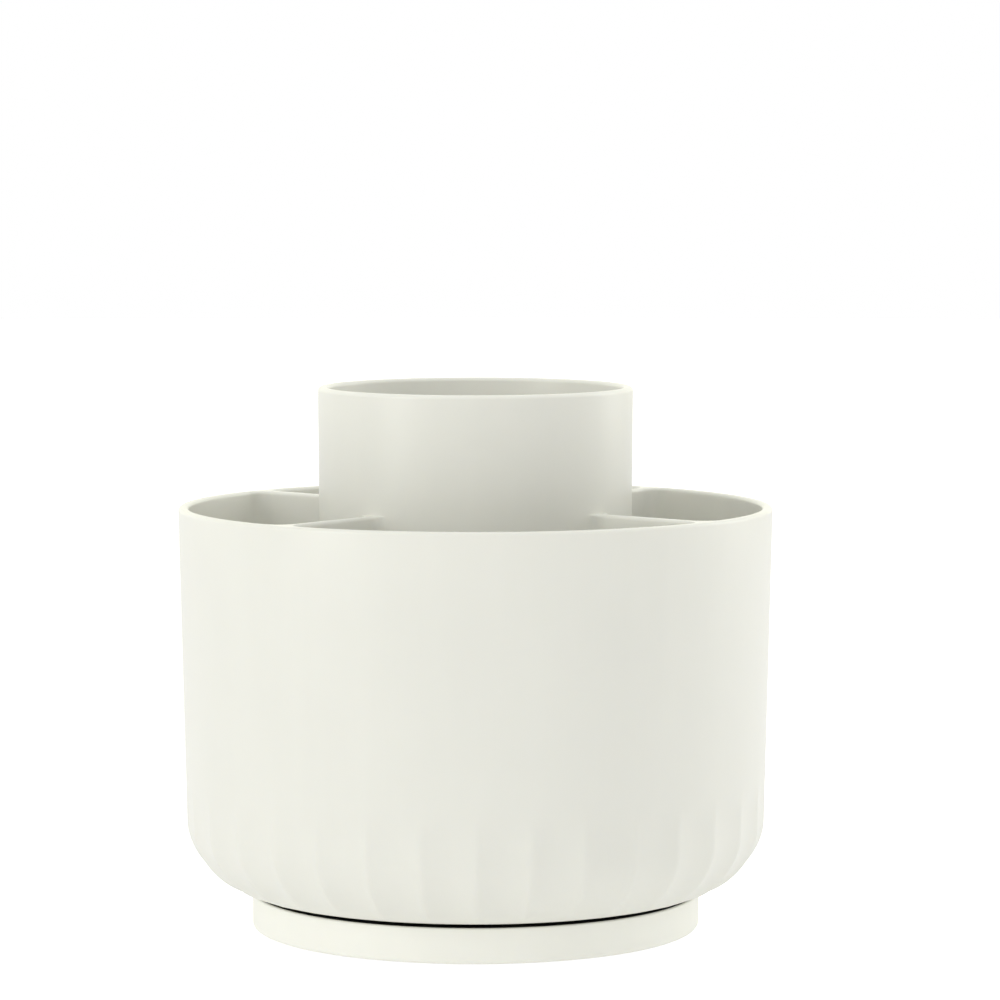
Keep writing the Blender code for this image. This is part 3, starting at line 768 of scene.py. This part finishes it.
class Shader:
    """A material's node tree, with short calls for its nodes. Noise scales are in features per metre."""

    def __init__(self, name):
        self.material = bpy.data.materials.new(name)
        self.material.use_nodes = True
        self.nodes = self.material.node_tree.nodes
        self.links = self.material.node_tree.links
        self.surface = self.nodes["Principled BSDF"]
        self.place = self.nodes.new("ShaderNodeTexCoord").outputs["Object"]

    def set(self, **values):
        for name, value in values.items():
            self.surface.inputs[name.replace("_", " ")].default_value = value

    def feed(self, name, output):
        self.links.new(output, self.surface.inputs[name])

    def noise(self, scale, detail=4.0, place=None):
        node = self.nodes.new("ShaderNodeTexNoise")
        node.inputs["Scale"].default_value = scale
        node.inputs["Detail"].default_value = detail
        node.inputs["Roughness"].default_value = 0.55
        self.links.new(place or self.place, node.inputs["Vector"])
        return node.outputs["Fac"]

    def stretched(self, scale):
        node = self.nodes.new("ShaderNodeMapping")
        node.inputs["Scale"].default_value = scale
        self.links.new(self.place, node.inputs["Vector"])
        return node.outputs["Vector"]

    def spread(self, value, low, high, new_low=0.0, new_high=1.0):
        node = self.nodes.new("ShaderNodeMapRange")
        for name, number in zip(("From Min", "From Max", "To Min", "To Max"), (low, high, new_low, new_high)):
            node.inputs[name].default_value = number
        self.links.new(value, node.inputs["Value"])
        return node.outputs["Result"]

    def mix(self, factor, first, second):
        node = self.nodes.new("ShaderNodeMix")
        node.data_type = "RGBA"
        self.links.new(factor, node.inputs["Factor"])
        for socket, value in (("A", first), ("B", second)):
            target = [entry for entry in node.inputs if entry.name == socket and entry.type == "RGBA"][0]
            if isinstance(value, tuple):
                target.default_value = (*value, 1.0)
            else:
                self.links.new(value, target)
        return [entry for entry in node.outputs if entry.type == "RGBA"][0]

    def math(self, operation, first, second):
        node = self.nodes.new("ShaderNodeMath")
        node.operation = operation
        for socket, value in zip(node.inputs, (first, second)):
            if isinstance(value, (int, float)):
                socket.default_value = value
            else:
                self.links.new(value, socket)
        return node.outputs["Value"]

    def bump(self, height, strength, distance, before=None):
        node = self.nodes.new("ShaderNodeBump")
        node.inputs["Strength"].default_value = strength
        node.inputs["Distance"].default_value = distance
        self.links.new(height, node.inputs["Height"])
        if before is not None:
            self.links.new(before, node.inputs["Normal"])
        return node.outputs["Normal"]

    def radius_and_height(self):
        """How far a point is from the turning axis, and its height over the table."""
        parts = self.nodes.new("ShaderNodeSeparateXYZ")
        self.links.new(self.place, parts.inputs["Vector"])
        squares = [self.math("MULTIPLY", parts.outputs[axis], parts.outputs[axis]) for axis in ("X", "Y")]
        return self.math("SQRT", self.math("ADD", *squares), 0.0), parts.outputs["Z"]

    def edges(self):
        """1 on convex edges, 0 on flat and hollow places."""
        pointiness = self.nodes.new("ShaderNodeNewGeometry").outputs["Pointiness"]
        return self.spread(pointiness, 0.505, 0.56)


def ivory_plastic(name, colour, roughness, gap_shade_heights):
    """Smooth satin-gloss plastic: slight mottling, faint vertical flow lines, fine orange peel, and convex
    edges painted lighter as a highlight.

    The faces in the gap between barrel and base are painted dark as shade, from one of the two given heights
    to the other.
    """
    shader = Shader(name)
    shade = tuple(channel * 0.98 for channel in colour)
    # painted highlight: the lighter colour that convex edges, such as the rim and the flutes' ridges, are
    # painted
    paler_edge = tuple(channel * 1.06 for channel in colour)
    mottle = shader.spread(shader.noise(45, detail=5), 0.35, 0.65)
    flow = shader.spread(shader.noise(1, detail=3, place=shader.stretched((160, 160, 12))), 0.35, 0.65)
    blend = shader.math("ADD", shader.math("MULTIPLY", mottle, 0.6), shader.math("MULTIPLY", flow, 0.4))
    body = shader.mix(blend, shade, colour)
    outside_gap = shader.mix(shader.math("MULTIPLY", shader.edges(), 0.6), body, paler_edge)
    radius, height = shader.radius_and_height()
    # painted shade: near-black on the faces inside the gap between barrel and base
    within = shader.spread(radius, GAP_SHADE_EDGE + 0.2 * MM, GAP_SHADE_EDGE)
    dust_and_shade = shader.math("MULTIPLY", within, shader.spread(height, *gap_shade_heights))
    shader.feed("Base Color", shader.mix(dust_and_shade, outside_gap, GAP_SHADE))
    grain = shader.noise(900, detail=3)
    shader.feed("Roughness", shader.spread(shader.math("ADD", grain, blend), 0.5, 1.5, *roughness))
    peel = shader.bump(shader.noise(420, detail=2), 0.10, 0.0001)
    shader.feed("Normal", shader.bump(shader.noise(1800, detail=2), 0.03, 0.00004, peel))
    shader.set(Subsurface_Weight=0.10, Subsurface_Radius=(1.0, 0.85, 0.6), Subsurface_Scale=0.0015, IOR=1.5)
    shader.set(Coat_Weight=0.08, Coat_Roughness=0.18)
    return shader.material


def white_nylon():
    """Matt moulded nylon with a fine eroded-mould texture and slight cloudiness."""
    shader = Shader("white_nylon")
    cloud = shader.spread(shader.noise(70, detail=6), 0.35, 0.65)
    shader.feed("Base Color", shader.mix(cloud, (0.70, 0.70, 0.655), (0.76, 0.76, 0.715)))
    grain = shader.noise(2600, detail=4)
    shader.feed("Roughness", shader.spread(grain, 0.3, 0.7, 0.48, 0.62))
    shader.feed("Normal", shader.bump(grain, 0.35, 0.00008))
    shader.set(Subsurface_Weight=0.12, Subsurface_Radius=(1.0, 0.9, 0.8), Subsurface_Scale=0.001, IOR=1.53)
    return shader.material


def bearing_steel():
    """Polished steel with fine turning lines and a thin film of grease that dulls it in patches."""
    shader = Shader("bearing_steel")
    film = shader.spread(shader.noise(260, detail=5), 0.4, 0.68)
    shader.feed("Base Color", shader.mix(film, (0.66, 0.67, 0.69), (0.50, 0.49, 0.46)))
    lines = shader.noise(1, detail=5, place=shader.stretched((300, 300, 9000)))
    shader.feed("Roughness", shader.spread(shader.math("ADD", lines, film), 0.4, 1.6, 0.12, 0.34))
    shader.feed("Normal", shader.bump(lines, 0.08, 0.00003))
    shader.set(Metallic=1.0)
    return shader.material


def screw_steel():
    """Zinc-plated steel: brushed lines, a slight blue and yellow tint in patches, and brighter edges from
    wear.
    """
    shader = Shader("screw_steel")
    tint = shader.spread(shader.noise(500, detail=4), 0.4, 0.6)
    body = shader.mix(tint, (0.55, 0.57, 0.61), (0.62, 0.60, 0.54))
    shader.feed("Base Color", shader.mix(shader.edges(), body, (0.82, 0.82, 0.81)))
    lines = shader.noise(1, detail=4, place=shader.stretched((5200, 900, 5200)))
    shader.feed("Roughness", shader.spread(lines, 0.3, 0.7, 0.24, 0.42))
    shader.feed("Normal", shader.bump(lines, 0.12, 0.00004))
    shader.set(Metallic=1.0)
    return shader.material


def rubber():
    """Matt dark rubber with a fine grain, and raised edges dusted paler."""
    shader = Shader("rubber_pad")
    dust_and_shade = shader.spread(shader.noise(380, detail=6), 0.5, 0.75)
    body = shader.mix(dust_and_shade, (0.022, 0.022, 0.023), (0.060, 0.058, 0.054))
    paler_edge = shader.math("MULTIPLY", shader.edges(), 0.5)
    shader.feed("Base Color", shader.mix(paler_edge, body, (0.10, 0.10, 0.095)))
    grain = shader.noise(3000, detail=4)
    shader.feed("Roughness", shader.spread(grain, 0.3, 0.7, 0.68, 0.86))
    shader.feed("Normal", shader.bump(grain, 0.5, 0.00008))
    return shader.material


# Stage, light and camera --------------------------------------------------------------------------


def make_floor():
    """A plain pale floor, large enough to reach past the picture."""
    bm = bmesh.new()
    lathe(bm, [(3.0, 0.0), (0.6, 0.0), (0.0, 0.0)], even_angles(96))
    floor = object_from("floor", bm)
    shader = Shader("pale_floor")
    speckle = shader.spread(shader.noise(300, detail=5), 0.35, 0.65)
    shader.feed("Base Color", shader.mix(speckle, (FLOOR_GREY * 0.97,) * 3, (FLOOR_GREY,) * 3))
    seen = shader.nodes.new("ShaderNodeLightPath").outputs["Is Camera Ray"]
    shader.feed("Emission Strength", shader.spread(seen, 0.0, 1.0, FLOOR_BOUNCE, FLOOR_SEEN))
    shader.set(Roughness=0.75, Emission_Color=(*WHITE, 1.0))
    floor.data.materials.append(shader.material)


def make_world():
    """White all round, with a brightness for the camera, one for reflections and one for diffuse light."""
    world = bpy.data.worlds.new("studio")
    bpy.context.scene.world = world
    world.use_nodes = True
    nodes, links = world.node_tree.nodes, world.node_tree.links
    path = nodes.new("ShaderNodeLightPath")
    light = nodes["Background"]
    light.inputs["Strength"].default_value = WORLD_LIGHT
    light.inputs["Color"].default_value = (*WHITE, 1.0)
    shader = light.outputs["Background"]
    rays = (("Is Glossy Ray", WORLD_REFLECTED, (1.0, 1.0, 0.86)), ("Is Camera Ray", WORLD_SEEN, WHITE))
    for ray, strength, colour in rays:
        other = nodes.new("ShaderNodeBackground")
        other.inputs["Color"].default_value = (*colour, 1.0)
        other.inputs["Strength"].default_value = strength
        choice = nodes.new("ShaderNodeMixShader")
        links.new(path.outputs[ray], choice.inputs["Fac"])
        links.new(shader, choice.inputs[1])
        links.new(other.outputs["Background"], choice.inputs[2])
        shader = choice.outputs["Shader"]
    links.new(shader, nodes["World Output"].inputs["Surface"])


def add_softbox(name, place, size, watts, colour):
    """A soft light that shines on the middle of the object."""
    light = bpy.data.lights.new(name, "AREA")
    light.color = colour
    light.shape = "RECTANGLE"
    light.size, light.size_y = size
    light.energy = watts
    obj = bpy.data.objects.new(name, light)
    bpy.context.scene.collection.objects.link(obj)
    obj.location = place
    middle = Vector((0, 0, 0.05))
    obj.rotation_euler = (middle - Vector(place)).to_track_quat("-Z", "Y").to_euler()


def make_lights():
    add_softbox("key", (-1.15, -0.6, 0.5), (0.5, 0.9), 3.4, (1.0, 1.0, 0.95))
    add_softbox("fill", (1.1, 0.4, 0.5), (0.5, 0.9), 2.6, (1.0, 1.0, 0.94))
    add_softbox("top", (0.0, 0.1, 1.1), (0.9, 0.9), 1.0, WHITE)


def make_camera():
    data = bpy.data.cameras.new("camera")
    data.sensor_width = SENSOR_WIDTH
    data.lens = LENS
    camera = bpy.data.objects.new("camera", data)
    bpy.context.scene.collection.objects.link(camera)
    back = Vector((math.sin(CAMERA_TURN), -math.cos(CAMERA_TURN), 0))
    right = Vector((math.cos(CAMERA_TURN), math.sin(CAMERA_TURN), 0))
    camera.location = back * CAMERA_DISTANCE + right * CAMERA_SIDE + Vector((0, 0, CAMERA_HEIGHT))
    camera.rotation_euler = (math.pi / 2 - CAMERA_PITCH, 0, CAMERA_TURN)
    bpy.context.scene.camera = camera


nylon = white_nylon()
steel = screw_steel()
polished = bearing_steel()
# the heights over which the gap's painted shade fades out
under_barrel = (BARREL_BOTTOM + GAP_SHADE_FADE, BARREL_BOTTOM)
on_base = (BASE_TOP - GAP_SHADE_FADE, BASE_TOP)
make_barrel(ivory_plastic("barrel_ivory", BARREL_IVORY, (0.285, 0.36), under_barrel))
make_base_shell(ivory_plastic("base_ivory", PAINTED_LIGHT_BASE_IVORY, (0.50, 0.60), on_base))
make_base_cover(nylon)
make_foot_pads(rubber())
make_cover_screws(steel)
make_pivot(steel, nylon)
make_races(polished)
make_ball_cage(nylon)
make_balls(polished)
make_floor()
make_world()
make_lights()
make_camera()
bpy.context.scene.view_settings.view_transform = "Standard"
